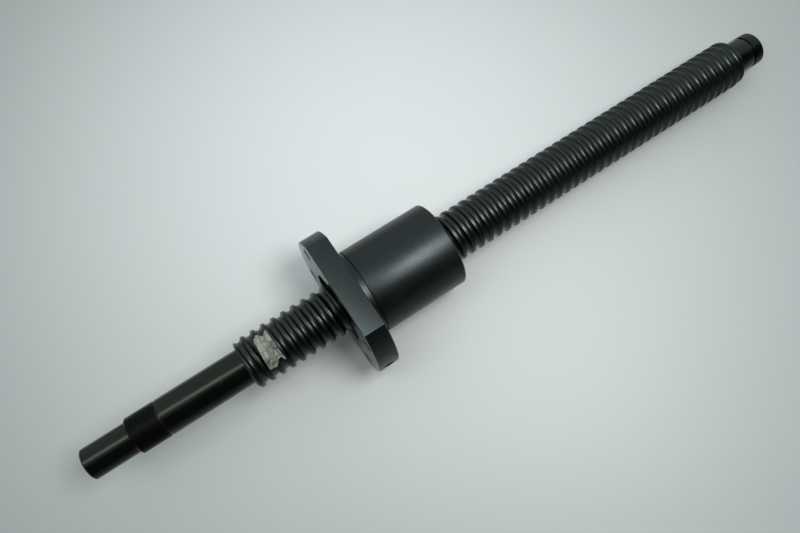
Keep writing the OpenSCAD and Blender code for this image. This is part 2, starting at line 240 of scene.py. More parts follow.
def rounded(points, radii, segments=3):
    """The points of an outline, with an arc at each corner whose number radii maps to a radius."""
    made = []
    for number, point in enumerate(points):
        if number not in radii:
            made.append(point)
            continue
        corner = Vector(point)
        before = (Vector(points[number - 1]) - corner).normalized()
        after = (Vector(points[number + 1]) - corner).normalized()
        half = before.angle(after) / 2
        reach = radii[number] / math.tan(half)
        centre = corner + (before + after).normalized() * radii[number] / math.sin(half)
        start = corner + before * reach - centre
        end = corner + after * reach - centre
        sweep = math.pi - 2 * half
        for k in range(segments + 1):
            t = k / segments
            a = math.sin((1 - t) * sweep) / math.sin(sweep)
            b = math.sin(t * sweep) / math.sin(sweep)
            made.append(tuple(centre + start * a + end * b))
    return made


def finish_piece(piece, body, material, replaced, angle=SMOOTH_ANGLE):
    """Gives a piece its shading, material and body, and hides the CAD nodes that it replaces."""
    activate(piece)
    bpy.ops.object.transform_apply(location=True, rotation=True, scale=True)
    bpy.ops.object.shade_smooth_by_angle(angle=math.radians(angle))
    piece.data.materials.clear()
    piece.data.materials.append(material)
    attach(piece, body)
    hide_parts(*replaced)


# Materials


class Value:
    """A shader value that can be added, subtracted and multiplied."""

    def __init__(self, layout, socket):
        self.layout = layout
        self.socket = socket

    def sum(self, operation, first, second):
        """The value of a math node fed by two values or numbers."""
        node = self.layout.node("ShaderNodeMath", {"operation": operation}, {0: first, 1: second})
        return Value(self.layout, node.outputs[0])

    def __add__(self, other):
        return self.sum("ADD", self, other)

    def __radd__(self, other):
        return self.sum("ADD", other, self)

    def __sub__(self, other):
        return self.sum("SUBTRACT", self, other)

    def __rsub__(self, other):
        return self.sum("SUBTRACT", other, self)

    def __mul__(self, other):
        return self.sum("MULTIPLY", self, other)

    def __rmul__(self, other):
        return self.sum("MULTIPLY", other, self)


class Layout:
    """A node tree while it is being laid out."""

    def __init__(self, owner):
        owner.use_nodes = True
        self.tree = owner.node_tree
        self.tree.nodes.clear()

    def node(self, kind, settings=None, inputs=None):
        """A node with its settings made first, and then its sockets' values or links."""
        node = self.tree.nodes.new(kind)
        for key, value in (settings or {}).items():
            if key == "stops":
                for stop, (place, colour) in zip(node.color_ramp.elements, value):
                    stop.position = place
                    stop.color = colour
            else:
                setattr(node, key, value)
        for key, value in (inputs or {}).items():
            self.feed(node.inputs[key], value)
        return node

    def feed(self, socket, value):
        """Links a socket to a value, or sets it."""
        if isinstance(value, Value):
            self.tree.links.new(value.socket, socket)
        elif isinstance(value, bpy.types.NodeSocket):
            self.tree.links.new(value, socket)
        elif hasattr(value, "__len__") and len(value) == 3 and socket.type == "RGBA":
            socket.default_value = (*value, 1)
        else:
            socket.default_value = value


class Finish(Layout):
    """A surface finish while its nodes are being laid out."""

    def __init__(self, name, base, roughness, metallic=0.0):
        self.material = bpy.data.materials.new(name)
        super().__init__(self.material)
        self.shader = self.node("ShaderNodeBsdfPrincipled", {}, {"Metallic": metallic})
        self.node("ShaderNodeOutputMaterial", {}, {"Surface": self.shader.outputs[0]})
        self.place = self.node("ShaderNodeTexCoord").outputs["Object"]
        self.set("Base Color", base)
        self.set("Roughness", roughness)

    def set(self, name, value):
        """Sets or links an input of the shader."""
        self.feed(self.shader.inputs[name], value)

    def noise(self, scale, detail, stretch=(1, 1, 1), distortion=0.0, rough=0.5):
        """Noise from 0 to 1, with scale grains to a metre, stretched along the axes."""
        mapping = self.node("ShaderNodeMapping", {}, {"Vector": self.place, "Scale": stretch})
        inputs = {
            "Vector": mapping.outputs[0],
            "Scale": scale,
            "Detail": detail,
            "Distortion": distortion,
            "Roughness": rough,
        }
        return Value(self, self.node("ShaderNodeTexNoise", {}, inputs).outputs["Fac"])

    def between(self, value, low, high, from_0=0.0, from_1=1.0):
        """A value carried smoothly from one range to another, and held at its ends."""
        settings = {"interpolation_type": "SMOOTHSTEP"}
        inputs = {
            "Value": value,
            "From Min": from_0,
            "From Max": from_1,
            "To Min": low,
            "To Max": high,
        }
        return Value(self, self.node("ShaderNodeMapRange", settings, inputs).outputs[0])

    def near(self, place, reach):
        """1 at a place and 0 from a reach away from it on, both in millimetres."""
        inputs = {0: self.place, 1: tuple(c * MM for c in place)}
        away = self.node("ShaderNodeVectorMath", {"operation": "DISTANCE"}, inputs)
        return self.between(Value(self, away.outputs["Value"]), 1, 0, 0, reach * MM)

    def along_x(self):
        """The place along the shaft, in metres."""
        axes = self.node("ShaderNodeSeparateXYZ", {}, {0: self.place})
        return Value(self, axes.outputs["X"])

    def mix(self, share, first, second):
        """A colour between two colours, by the mix node's sockets for colours."""
        inputs = {"Factor": share, 6: first, 7: second}
        return self.node("ShaderNodeMix", {"data_type": "RGBA"}, inputs).outputs[2]

    def bump(self, height, depth):
        """Raises the surface by a height of 0 to 1 times a depth in metres."""
        inputs = {"Height": height, "Distance": depth, "Strength": 1.0}
        self.set("Normal", self.node("ShaderNodeBump", {}, inputs).outputs[0])


def shade(colour, share):
    """A colour made darker or lighter."""
    return tuple(c * share for c in colour)


ZONE_EDGE = 0.02  # half the width of the step between two zones of a finish, in millimetres


def turned_steel(name, base, stain, roughness, lines, mottle=0.35, zones=(), cloud=0.2):
    """Black-finished steel: grinding lines round the axis, a thin oil film and faint brown stains.

    Each zone is a stretch along the shaft: its first and last place in millimetres, how much
    rougher the steel is there, and its colour. mottle is the strength of the stains, and cloud
    that of the fine grain in the colour.
    """
    finish = Finish(name, base, roughness, metallic=1.0)
    film = finish.noise(26, 4, distortion=0.6)
    rings = finish.noise(lines, 2, stretch=(1, 0.02, 0.02))
    scuffs = finish.noise(210, 5, stretch=(0.25, 1, 1), distortion=0.3, rough=0.65)
    spots = finish.between(finish.noise(95, 3, distortion=1.2), 0, 1, 0.62, 0.74)
    rough = roughness + (film - 0.5) * 0.16 + (scuffs - 0.5) * 0.12 + spots * 0.08
    x = finish.along_x()
    grain = finish.noise(900, 4, distortion=0.4, rough=0.7)
    colour = finish.mix(grain, shade(base, 1 - cloud), shade(base, 1 + cloud))
    for first, last, more, zone_colour in zones:
        begins, ends = (
            finish.between(x, 0, 1, (at - ZONE_EDGE) * MM, (at + ZONE_EDGE) * MM)
            for at in (first, last)
        )
        rough = rough + (begins - ends) * more
        colour = finish.mix(begins - ends, colour, zone_colour)
    finish.set("Base Color", finish.mix(spots * mottle, colour, stain))
    finish.set("Roughness", rough)
    finish.bump(rings + scuffs * 0.4, 1.6e-6)
    return finish.material


def moulded_black(name, base, roughness):
    """Moulded seal plastic with a fine even grain."""
    finish = Finish(name, base, roughness)
    grain = finish.noise(1400, 2)
    finish.set("Roughness", roughness + (grain - 0.5) * 0.2)
    finish.bump(grain, 4e-6)
    return finish.material


def drawn_steel(name, base, roughness, marks):
    """Bright formed steel with fine draw marks and a dulled film."""
    finish = Finish(name, base, roughness, metallic=1.0)
    film = finish.noise(60, 4, distortion=0.8)
    lines = finish.noise(marks, 3, stretch=(1, 0.1, 1))
    dulled = finish.between(film, 0, 0.6, 0.35, 0.75)
    finish.set("Base Color", finish.mix(dulled, base, shade(base, 0.62)))
    finish.set("Roughness", roughness + (film - 0.5) * 0.15)
    finish.bump(lines, 2e-6)
    return finish.material


def polished_ball(name, base):
    """A ground and polished bearing ball with a trace of grease."""
    finish = Finish(name, base, 0.09, metallic=1.0)
    grease = finish.noise(320, 3, distortion=0.5)
    finish.set("Roughness", finish.between(grease, 0.06, 0.3, 0.45, 0.8))
    return finish.material


RUBBED = (  # the label's smudges and darker marks: the place and the reach in millimetres, and the strength
    # an oily smudge
    ((-51.8, -2.4, 13.9), 3.6, 0.55),
    # a small dark mark
    ((-50.4, -0.3, 14.0), 1.3, 0.9),
    # a greyer patch at the label's lower corner on the drive side
    ((-56.6, -7.8, 11.7), 3.8, 0.3),
)


def torn_paper(base, smudge):
    """Thin label paper: folds round the shaft, with painted shade in their hollows and painted
    light on their ridges, fibres, mottled grime, oily smudges and darker marks.
    """
    finish = Finish("torn_paper", base, 0.62)
    folds = finish.noise(850, 3, stretch=(1.5, 0.12, 0.12), distortion=0.5, rough=0.6)
    wrinkles = finish.noise(430, 4, stretch=(1, 0.4, 0.4), distortion=0.9, rough=0.65)
    fibres = finish.noise(2600, 2)
    blots = finish.noise(520, 4, distortion=1.1, rough=0.6)
    rubbed = blots * 1.6
    for place, reach, strength in RUBBED:
        rubbed = rubbed + finish.near(place, reach) * strength
    grime = finish.between(rubbed, 0, 0.95, 0.74, 1.12)
    # painted shade and light: the paper is darker in the hollows of its folds and lighter on their
    # ridges
    painted_fold_shade = finish.between(folds + wrinkles, 0, 1, 0.76, 1.24)
    paper = finish.mix(painted_fold_shade, shade(base, 0.5), shade(base, 1.3))
    finish.set("Base Color", finish.mix(grime, paper, smudge))
    finish.set("Roughness", 0.62 - grime * 0.2)
    finish.bump(folds + wrinkles + fibres * 0.2, 9e-5)
    return finish.material


# Sizes and colours that a user would change


class BallScrewSizes(bpy.types.PropertyGroup):
    """Sizes of the shaft and its thread, in metres."""

    screw_d: bpy.props.FloatProperty(
        name="Screw diameter",
        description="Outside diameter of the ball thread",
        default=0.028,
        unit="LENGTH",
    )
    lead: bpy.props.FloatProperty(
        name="Lead",
        description="Travel of the nut in one turn",
        default=0.006,
        unit="LENGTH",
    )
    ball_circle_d: bpy.props.FloatProperty(
        name="Ball circle",
        description="Diameter of the circle of the ball centres",
        default=0.02875,
        unit="LENGTH",
    )
    groove_r: bpy.props.FloatProperty(
        name="Groove radius",
        description="Radius of the raceway's groove",
        default=0.0021045,
        unit="LENGTH",
    )
    crest_round: bpy.props.FloatProperty(
        name="Crest rounding",
        description="Radius on the edges of the thread's crest",
        default=0.00028,
        unit="LENGTH",
    )


class BallScrewLook(bpy.types.PropertyGroup):
    """Colours of the finishes."""

    shaft: bpy.props.FloatVectorProperty(
        name="Shaft",
        description="Black finish of the shaft",
        default=(0.0225, 0.0255, 0.0215),
        subtype="COLOR",
    )
    thread: bpy.props.FloatVectorProperty(
        name="Thread",
        description="Finish of the ground ball thread",
        default=(0.031, 0.037, 0.036),
        subtype="COLOR",
    )
    nut: bpy.props.FloatVectorProperty(
        name="Nut",
        description="Black finish of the nut",
        default=(0.03, 0.0355, 0.0355),
        subtype="COLOR",
    )
    # painted highlight: a lighter colour along the front edge of the nut's flange
    painted_edge_highlight: bpy.props.FloatVectorProperty(
        name="Painted edge highlight",
        description="Painted highlight along the nut flange's front edge",
        default=(0.13, 0.14, 0.14),
        subtype="COLOR",
    )
    stain: bpy.props.FloatVectorProperty(
        name="Stain",
        description="Faint brown of old oil",
        default=(0.034, 0.026, 0.018),
        subtype="COLOR",
    )
    paper: bpy.props.FloatVectorProperty(
        name="Paper",
        description="Face of the torn label",
        default=(0.2, 0.214, 0.172),
        subtype="COLOR",
    )
    smudge: bpy.props.FloatVectorProperty(
        name="Smudge",
        description="Oily smudges on the label",
        default=(0.03, 0.042, 0.035),
        subtype="COLOR",
    )
    table: bpy.props.FloatVectorProperty(
        name="Table",
        description="The pale table top",
        default=(0.585, 0.603, 0.603),
        subtype="COLOR",
    )


# The shaft

MOUNTS = {mount["name"]: mount for mount in frame["record"]["mounts"]}


def radius_of(name):
    """Radius of a journal mount, in millimetres."""
    return MOUNTS[name]["dims"]["r_mm"]


def ends_of(name):
    """First and last place of a journal mount along the shaft, in millimetres."""
    middle, length = MOUNTS[name]["pos_m"][0] / MM, MOUNTS[name]["dims"]["length_mm"]
    return middle - length / 2, middle + length / 2


COUPLING_X0, SUPPORT_X1 = (corner[0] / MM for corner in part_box("screw_shaft"))
LOCKNUT_X0 = ends_of("coupling_journal")[1]
BEARING_X0, THREAD_X0 = ends_of("bearing_journal")
THREAD_X1, RING_GROOVE_X0 = ends_of("supported_journal")
COUPLING_R, LOCKNUT_R = radius_of("coupling_journal"), radius_of("locknut_thread")
BEARING_R, SUPPORT_R = radius_of("bearing_journal"), radius_of("supported_journal")
RUNOUT_R, RUNOUT_W = 9.3, 1.2
RING_GROOVE_R, RING_GROOVE_W = radius_of("snap_ring_groove"), 1.35
END_CHAMFER = 0.8
THREAD_CHAMFER = 1.0
CENTRE_R, CENTRE_MOUTH_R, CENTRE_DEPTH = 1.25, 2.65, 5.5
CENTRE_CONE = (CENTRE_MOUTH_R - CENTRE_R) / math.tan(HALF_FLANK)
EDGE_BREAK, CREST_BREAK, GROOVE_BREAK = 0.1, 0.08, 0.06  # roundings of the shaft's turned edges
LOCKNUT_PITCH, LOCKNUT_DEPTH, LOCKNUT_TURNS = 1.0, 0.61, 18
LOCKNUT_ROOT = 0.095  # half the width of the thread's flat root
GROOVE_X = 0.685  # a groove's middle on the +Y side


def thread_profile(sizes, start):
    """One pitch of the ball thread in millimetres, from the middle of the crest at start."""
    lead, crest_r = sizes.lead / MM, sizes.screw_d / 2 / MM
    track_r, groove_r = sizes.ball_circle_d / 2 / MM, sizes.groove_r / MM
    edge = math.asin((track_r - crest_r) / groove_r)
    chords = 10
    points = [(start, crest_r)]
    for k in range(chords + 1):
        angle = edge + (math.pi - 2 * edge) * k / chords
        x = start + lead / 2 - groove_r * math.cos(angle)
        points.append((x, track_r - groove_r * math.sin(angle)))
    points.append((start + lead, crest_r))
    radius = sizes.crest_round / MM
    return rounded(points, {1: radius, chords + 1: radius})


def drive_end():
    """The stepped drive end, up to the start of the ball thread, with its locknut thread cut in."""
    c = END_CHAMFER
    blank = lathe(
        "drive_end",
        rounded(
            [
                (COUPLING_X0 + CENTRE_DEPTH, 0),
                (COUPLING_X0 + CENTRE_DEPTH - 0.5 * CENTRE_R, CENTRE_R),
                (COUPLING_X0 + CENTRE_CONE, CENTRE_R),
                (COUPLING_X0, CENTRE_MOUTH_R),
                (COUPLING_X0, COUPLING_R - c),
                (COUPLING_X0 + c, COUPLING_R),
                (LOCKNUT_X0, COUPLING_R),
                (LOCKNUT_X0, LOCKNUT_R - c),
                (LOCKNUT_X0 + c, LOCKNUT_R),
                (BEARING_X0 - RUNOUT_W, LOCKNUT_R),
                (BEARING_X0 - RUNOUT_W, RUNOUT_R),
                (BEARING_X0, RUNOUT_R),
                (BEARING_X0, BEARING_R),
                (THREAD_X0, BEARING_R),
            ],
            {4: EDGE_BREAK, 5: EDGE_BREAK, 7: CREST_BREAK, 8: CREST_BREAK, 12: EDGE_BREAK},
        ),
    )
    above = 0.06  # how far the cutter stands out of the journal
    mouth = (LOCKNUT_DEPTH + above) * math.tan(HALF_FLANK) + LOCKNUT_ROOT
    start = LOCKNUT_X0 - 1.6  # in the open, beside the coupling journal
    corner = (start - mouth, LOCKNUT_R + above)
    tooth = [
        corner,
        (start - LOCKNUT_ROOT, LOCKNUT_R - LOCKNUT_DEPTH),
        (start + LOCKNUT_ROOT, LOCKNUT_R - LOCKNUT_DEPTH),
        (start + mouth, LOCKNUT_R + above),
        corner,
    ]
    cutter = wind("locknut_thread_cutter", tooth, LOCKNUT_PITCH, LOCKNUT_TURNS, STEPS_FINE)
    cap_ends(cutter)
    return carve(blank, cutter)


def cap_ends(piece):
    """Closes the open ends of a piece."""
    edit(piece)
    pick(piece, "EDGE", lambda edge: edge.is_boundary)
    bpy.ops.mesh.edge_face_add()
    tidy(piece)


def supported_end():
    """The short journal with its snap ring groove, from the end of the ball thread."""
    return lathe(
        "supported_end",
        rounded(
            [
                (THREAD_X1, SUPPORT_R),
                (RING_GROOVE_X0, SUPPORT_R),
                (RING_GROOVE_X0, RING_GROOVE_R),
                (RING_GROOVE_X0 + RING_GROOVE_W, RING_GROOVE_R),
                (RING_GROOVE_X0 + RING_GROOVE_W, SUPPORT_R),
                (SUPPORT_X1 - END_CHAMFER, SUPPORT_R),
                (SUPPORT_X1, SUPPORT_R - END_CHAMFER),
                (SUPPORT_X1, CENTRE_MOUTH_R),
                (SUPPORT_X1 - CENTRE_CONE, CENTRE_R),
                (SUPPORT_X1 - CENTRE_DEPTH + 0.5 * CENTRE_R, CENTRE_R),
                (SUPPORT_X1 - CENTRE_DEPTH, 0),
            ],
            {1: GROOVE_BREAK, 4: GROOVE_BREAK, 5: EDGE_BREAK, 6: EDGE_BREAK},
        ),
    )


def ball_thread(sizes):
    """The open tube of the ball thread, cut square at both ends."""
    lead = sizes.lead / MM
    turns_before = math.ceil((GROOVE_X + lead / 2 - THREAD_X0) / lead) + 1
    turns = turns_before + math.ceil((THREAD_X1 - GROOVE_X) / lead) + 1
    start = GROOVE_X - lead / 2 - turns_before * lead
    piece = wind("screw_shaft_ground", thread_profile(sizes, start), lead, turns, STEPS_THREAD)
    cut_away(piece, (-1, 0, 0), -THREAD_X0, fill=False)
    cut_away(piece, (1, 0, 0), THREAD_X1, fill=False)
    return piece


def crest_chamfer_cutter(sizes, x, side):
    """A ring that breaks the crests at the thread's end at x; side is 1 if it runs towards +X."""
    crest_r = sizes.screw_d / 2 / MM
    past = 0.5  # how far the cutter stands out of the thread
    low = (x - side * past, crest_r - THREAD_CHAMFER - past)
    inner = (x + side * (THREAD_CHAMFER + past), crest_r + past)
    outer = (x - side * past, crest_r + past)
    return lathe("crest_chamfer_cutter", [low, inner, outer, low])


def bridge_at(piece, x):
    """Joins the two open rims of a piece in the plane at x millimetres."""

    def on_rim(edge):
        return edge.is_boundary and all(abs(v.co.x - x * MM) < RIM_REACH for v in edge.verts)

    edit(piece)
    pick(piece, "EDGE", on_rim)
    bpy.ops.mesh.bridge_edge_loops()
    bpy.ops.object.mode_set(mode="OBJECT")


class BALLSCREW_OT_shaft(bpy.types.Operator):
    """Adds the screw shaft: its ball thread and both stepped ends, as one ground piece"""

    bl_idname = "ballscrew.shaft"
    bl_label = "Add Screw Shaft"

    def execute(self, context):
        sizes = context.scene.ball_screw_sizes
        piece = join(ball_thread(sizes), drive_end(), supported_end())
        bridge_at(piece, THREAD_X0)
        bridge_at(piece, THREAD_X1)
        tidy(piece)
        carve(piece, crest_chamfer_cutter(sizes, THREAD_X0, 1))
        carve(piece, crest_chamfer_cutter(sizes, THREAD_X1, -1))
        tidy(piece)
        look = context.scene.ball_screw_look
        shaft = tuple(look.shaft)
        zones = (
            # the locknut thread band: rougher, and darker partly for a duller blackening and partly
            # as painted shade of its fine flanks
            (LOCKNUT_X0 + 0.5, BEARING_X0 - 0.5, 0.2, shade(shaft, 0.75)),
            (THREAD_X0, THREAD_X1, 0.12, tuple(look.thread)),
        )
        stain = tuple(look.stain)
        material = turned_steel(
            "black_ground_steel", shaft, stain, roughness=0.2, lines=2600, zones=zones
        )
        finish_piece(piece, "screw", material, ["screw_shaft"])
        return {"FINISHED"}


# The nut and its pieces


FLANGE_X0, NUT_X1 = (corner[0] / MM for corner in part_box("nut_body"))
HAIR = 0.0005  # keeps the rim and the flats inside the CAD's box
FLANGE_R, FLAT_Z = (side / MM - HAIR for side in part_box("nut_body")[1][1:])
BODY_R = radius_of("nut_pilot")
RELIEF_X0 = ends_of("nut_pilot")[1]
RELIEF_W, RELIEF_DEPTH = 1.2, 1.0
FLANGE_CHAMFER, BODY_CHAMFER, FLAT_BREAK = 0.5, 0.8, 0.3
COVER_SEAT_R, WIPER_SEAT_R, LAND_R = 20.0, 17.05, 14.7
COVER_BORE_R = 14.8
WIPER_SEATS = ((-8.3, -3.3), (46.3, 51.3))
CORNER_BREAK = 0.07  # between a flat and the flange's rim
BOLT_R, BOLT_BREAK = 3.5, 0.3
BOLT_CIRCLE_R, BOLT_TURN = 32.5, math.radians(30)
BOLT_Y, BOLT_Z = BOLT_CIRCLE_R * math.cos(BOLT_TURN), BOLT_CIRCLE_R * math.sin(BOLT_TURN)
PORT_X, PORT_R, PORT_MOUTH_R, PORT_DEPTH, PORT_TIP = -6.0, 2.5, 3.2, 11.0, 1.2
OILWAY_R = 1.25
INTO_VOID = 1.0  # how far a passage's cutter reaches into the space that it opens into
RETURN_FLAT = 17.3  # the flat under the return tubes, on the -Z side
RETURN_X0, RETURN_X1 = 3.935, 42.435
LEG_X, LEG_Y = 7.5, 14.375  # from the middle of a circuit to a return tube's leg
CIRCUIT_STARTS = (6, 24)  # from GROOVE_X to the first leg of each ball circuit
CIRCUIT_X = tuple(GROOVE_X + start + LEG_X for start in CIRCUIT_STARTS)  # their middles
TUBE_SEAT_R, TUBE_BORE_R, TUBE_BEND_R, TUBE_Z = 2.6, 2.15, 7.5, -19.9
TUBE_TURN = math.degrees(math.atan2(LEG_X, LEG_Y))
TUBE_SPAN = math.hypot(LEG_X, LEG_Y)
TUBE_TOP = -7.777
STEPS_SEAT, STEPS_BEND = 40, 14  # segments round a return tube's seat and along its bend
STRAP_X, STRAP_SCREW_R = 23.185, 1.5


def nut_blank():
    """The turned nut with its flange, recesses, relief groove and bore."""
    (seat_x0, seat_x1), (rear_x0, rear_x1) = WIPER_SEATS
    relief_x1 = RELIEF_X0 + RELIEF_W
    return lathe(
        "nut_turned",
        rounded(
            [
                (seat_x0, COVER_SEAT_R),
                (FLANGE_X0, COVER_SEAT_R),
                (FLANGE_X0, FLANGE_R - FLANGE_CHAMFER),
                (FLANGE_X0 + FLANGE_CHAMFER, FLANGE_R),
                (-FLANGE_CHAMFER, FLANGE_R),
                (0, FLANGE_R - FLANGE_CHAMFER),
                (0, BODY_R),
                (RELIEF_X0, BODY_R),
                (RELIEF_X0, BODY_R - RELIEF_DEPTH),
                (relief_x1, BODY_R - RELIEF_DEPTH),
                (relief_x1, BODY_R),
                (NUT_X1 - BODY_CHAMFER, BODY_R),
                (NUT_X1, BODY_R - BODY_CHAMFER),
                (NUT_X1, COVER_SEAT_R),
                (rear_x1, COVER_SEAT_R),
                (rear_x1, WIPER_SEAT_R),
                (rear_x0, WIPER_SEAT_R),
                (rear_x0, LAND_R),
                (seat_x1, LAND_R),
                (seat_x1, WIPER_SEAT_R),
                (seat_x0, WIPER_SEAT_R),
                (seat_x0, COVER_SEAT_R),
            ],
            {
                1: 0.25,
                7: 0.12,
                **dict.fromkeys((2, 3, 4, 5, 8, 9, 10), 0.15),
                **dict.fromkeys((11, 12, 13), 0.2),
            },
        ),
        STEPS_NUT,
    )


def cut_flats(piece):
    """The flange's two flats and the small breaks along all their edges."""
    lean = math.acos(FLAT_Z / FLANGE_R) / 2
    for up in (1, -1):
        cut_away(piece, (0, 0, up), FLAT_Z)
        for side in (1, -1):
            slope = (0, side * math.sin(lean), up * math.cos(lean))
            cut_away(piece, slope, FLANGE_R * math.cos(lean) - CORNER_BREAK)
        for x in (FLANGE_X0, 0):
            width = FLAT_BREAK * math.sqrt(2)
            carve(piece, box((width, 2 * FLANGE_R, width), (x, 0, up * FLAT_Z), 45, "Y"))


def drill_flange(piece):
    """The four bolt holes and the grease port with its slanted way to the raceway."""
    reach = 0.6  # how far the cutters stand out of the flange
    break_r = BOLT_R + BOLT_BREAK + reach
    for side in (1, -1):
        for up in (1, -1):
            hole = lathe(
                "bolt_hole",
                [
                    (FLANGE_X0 - reach, 0),
                    (FLANGE_X0 - reach, break_r),
                    (FLANGE_X0 + BOLT_BREAK, BOLT_R),
                    (-BOLT_BREAK, BOLT_R),
                    (reach, break_r),
                    (reach, 0),
                ],
                STEPS_HOLE,
            )
            carve(piece, placed(hole, (0, side * BOLT_Y, up * BOLT_Z)))
    bottom = FLANGE_R - PORT_DEPTH
    port = lathe(
        "grease_port",
        [
            (bottom - PORT_TIP, 0),
            (bottom, PORT_R),
            (FLANGE_R - (PORT_MOUTH_R - PORT_R), PORT_R),
            (FLANGE_R + reach, PORT_MOUTH_R + reach),
            (FLANGE_R + reach, 0),
        ],
        STEPS_HOLE,
    )
    carve(piece, placed(port, (PORT_X, 0, 0), -90))
    rise, run = bottom + INTO_VOID - LEG_Y, GROOVE_X - PORT_X
    slant = math.degrees(math.atan2(rise, run))
    begin = (PORT_X, -bottom - INTO_VOID, 0)
    carve(piece, drill(math.hypot(rise, run), OILWAY_R, begin, slant))


def tube_seat():
    """The seat of a return tube's leg and bend, to the +X side of a circuit at the origin."""
    bend_x, bend_z = TUBE_SPAN - TUBE_BEND_R, TUBE_Z + TUBE_BEND_R
    deselect_all()
    bpy.ops.mesh.primitive_circle_add(
        vertices=STEPS_SEAT,
        radius=TUBE_SEAT_R * MM,
        location=(TUBE_SPAN * MM, 0, TUBE_TOP * MM),
    )
    piece = bpy.context.object
    edit(piece)
    down = (0, 0, (bend_z - TUBE_TOP) * MM)
    bpy.ops.mesh.extrude_region_move(TRANSFORM_OT_translate={"value": down})
    bpy.ops.mesh.spin(
        steps=STEPS_BEND,
        angle=FULL_TURN / 4,
        center=(bend_x * MM, 0, bend_z * MM),
        axis=(0, -1, 0),
    )
    cap_ends(piece)
    activate(piece)
    bpy.ops.object.transform_apply(location=True, rotation=True, scale=True)
    return piece


def cut_return(piece):
    """The flat under the return tubes, their seats, the ball passages and the screw's hole."""
    length, deep = RETURN_X1 - RETURN_X0, 2 * BODY_R
    middle = (RETURN_X0 + length / 2, 0, -RETURN_FLAT - deep / 2)
    carve(piece, box((length, deep, deep), middle))
    for x in CIRCUIT_X:
        for turn in (90 + TUBE_TURN, TUBE_TURN - 90):
            towards = math.radians(turn)
            leg = (x + TUBE_SPAN * math.cos(towards), TUBE_SPAN * math.sin(towards), 0)
            carve(piece, placed(tube_seat(), (x, 0, 0), turn))
            carve(piece, drill(-TUBE_TOP + INTO_VOID, TUBE_BORE_R, leg, 90, "Y"))
    length = RETURN_FLAT + INTO_VOID - LAND_R + INTO_VOID
    carve(piece, drill(length, STRAP_SCREW_R, (STRAP_X, 0, INTO_VOID - LAND_R), 90, "Y"))


def nut_raceway(sizes):
    """The cutter for the ball track in the nut's bore, from wiper seat to wiper seat."""
    groove_r, track_r = sizes.groove_r / MM, sizes.ball_circle_d / 2 / MM
    lead = sizes.lead / MM
    start, chords, turns = GROOVE_X - 2 * lead, 24, 11
    angles = [FULL_TURN * k / chords for k in range(chords + 1)]
    profile = [
        (start + groove_r * math.cos(angle), track_r + groove_r * math.sin(angle))
        for angle in angles
    ]
    cutter = wind("nut_raceway_cutter", profile, lead, turns, STEPS_THREAD)
    cap_ends(cutter)
    return cutter


class BALLSCREW_OT_nut(bpy.types.Operator):
    """Adds the nut body: turned, with its flats, holes, grease port, tube seats and raceway"""

    bl_idname = "ballscrew.nut"
    bl_label = "Add Nut Body"

    def execute(self, context):
        piece = nut_blank()
        cut_flats(piece)
        drill_flange(piece)
        cut_return(piece)
        carve(piece, nut_raceway(context.scene.ball_screw_sizes))
        tidy(piece)
        piece.name = piece.data.name = "nut_body_machined"
        look = context.scene.ball_screw_look
        nut = tuple(look.nut)
        zones = (  # the smoother face of the flange, and a painted highlight along the edge round it
            (FLANGE_X0 - 1, FLANGE_X0 + 0.05, -0.2, nut),
            # painted highlight: a lighter band along the flange's front edge
            (FLANGE_X0 + 0.05, FLANGE_X0 + 0.25, 0, tuple(look.painted_edge_highlight)),
        )
        stain = tuple(look.stain)
        material = turned_steel(
            "black_satin_steel",
            nut,
            stain,
            roughness=0.37,
            lines=1900,
            mottle=0.2,
            zones=zones,
            cloud=0.35,
        )
        finish_piece(piece, "nut", material, ["nut_body"])
        return {"FINISHED"}


class BALLSCREW_OT_seals(bpy.types.Operator):
    """Finishes the two wiper seals and adds their cover rings"""

    bl_idname = "ballscrew.seals"
    bl_label = "Add Seals and Covers"

    def execute(self, context):
        wiper = moulded_black("seal_black", (0.02, 0.02, 0.02), roughness=0.5)
        blackened, stain = (0.07, 0.073, 0.075), (0.08, 0.055, 0.035)
        cover = turned_steel("cover_blackened", blackened, stain, roughness=0.42, lines=1600)
        for end in ("front", "rear"):
            mesh = NODES[f"wiper_{end}"].data
            mesh.materials.clear()
            mesh.materials.append(wiper)
            low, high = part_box(f"seal_cover_{end}")
            x0, x1, outer = low[0] / MM, high[0] / MM, high[1] / MM
            inner = ((x0 + x1) / 2, COVER_BORE_R)
            corners = [(x0, COVER_BORE_R), (x0, outer), (x1, outer), (x1, COVER_BORE_R)]
            section = rounded([inner, *corners, inner], {1: 0.12, 2: 0.25, 3: 0.25, 4: 0.12})
            ring = lathe(f"cover_{end}", section, STEPS_NUT)
            finish_piece(ring, "seal_covers", cover, [f"seal_cover_{end}"])
        return {"FINISHED"}


class BALLSCREW_OT_ball_return(bpy.types.Operator):
    """Finishes the return tubes, their strap, screw and washer, and all the balls"""

    bl_idname = "ballscrew.ball_return"
    bl_label = "Finish Ball Return"

    def execute(self, context):
        screw, stain = (0.08, 0.08, 0.085), (0.08, 0.05, 0.03)
        finishes = {
            "return_tube": drawn_steel("tube_drawn", (0.42, 0.43, 0.44), 0.3, marks=900),
            "tube_strap": drawn_steel("strap_pressed", (0.36, 0.37, 0.385), 0.38, marks=700),
            "strap_washer": drawn_steel("washer_spring", (0.3, 0.3, 0.31), 0.35, marks=1200),
            "strap_screw": turned_steel("screw_black", screw, stain, roughness=0.35, lines=3000),
            "balls": polished_ball("ball_polished", (0.72, 0.73, 0.74)),
        }
        for name, piece in NODES.items():
            for start, material in finishes.items():
                if name.startswith(start):
                    piece.data.materials.clear()
                    piece.data.materials.append(material)
        return {"FINISHED"}


# The torn label

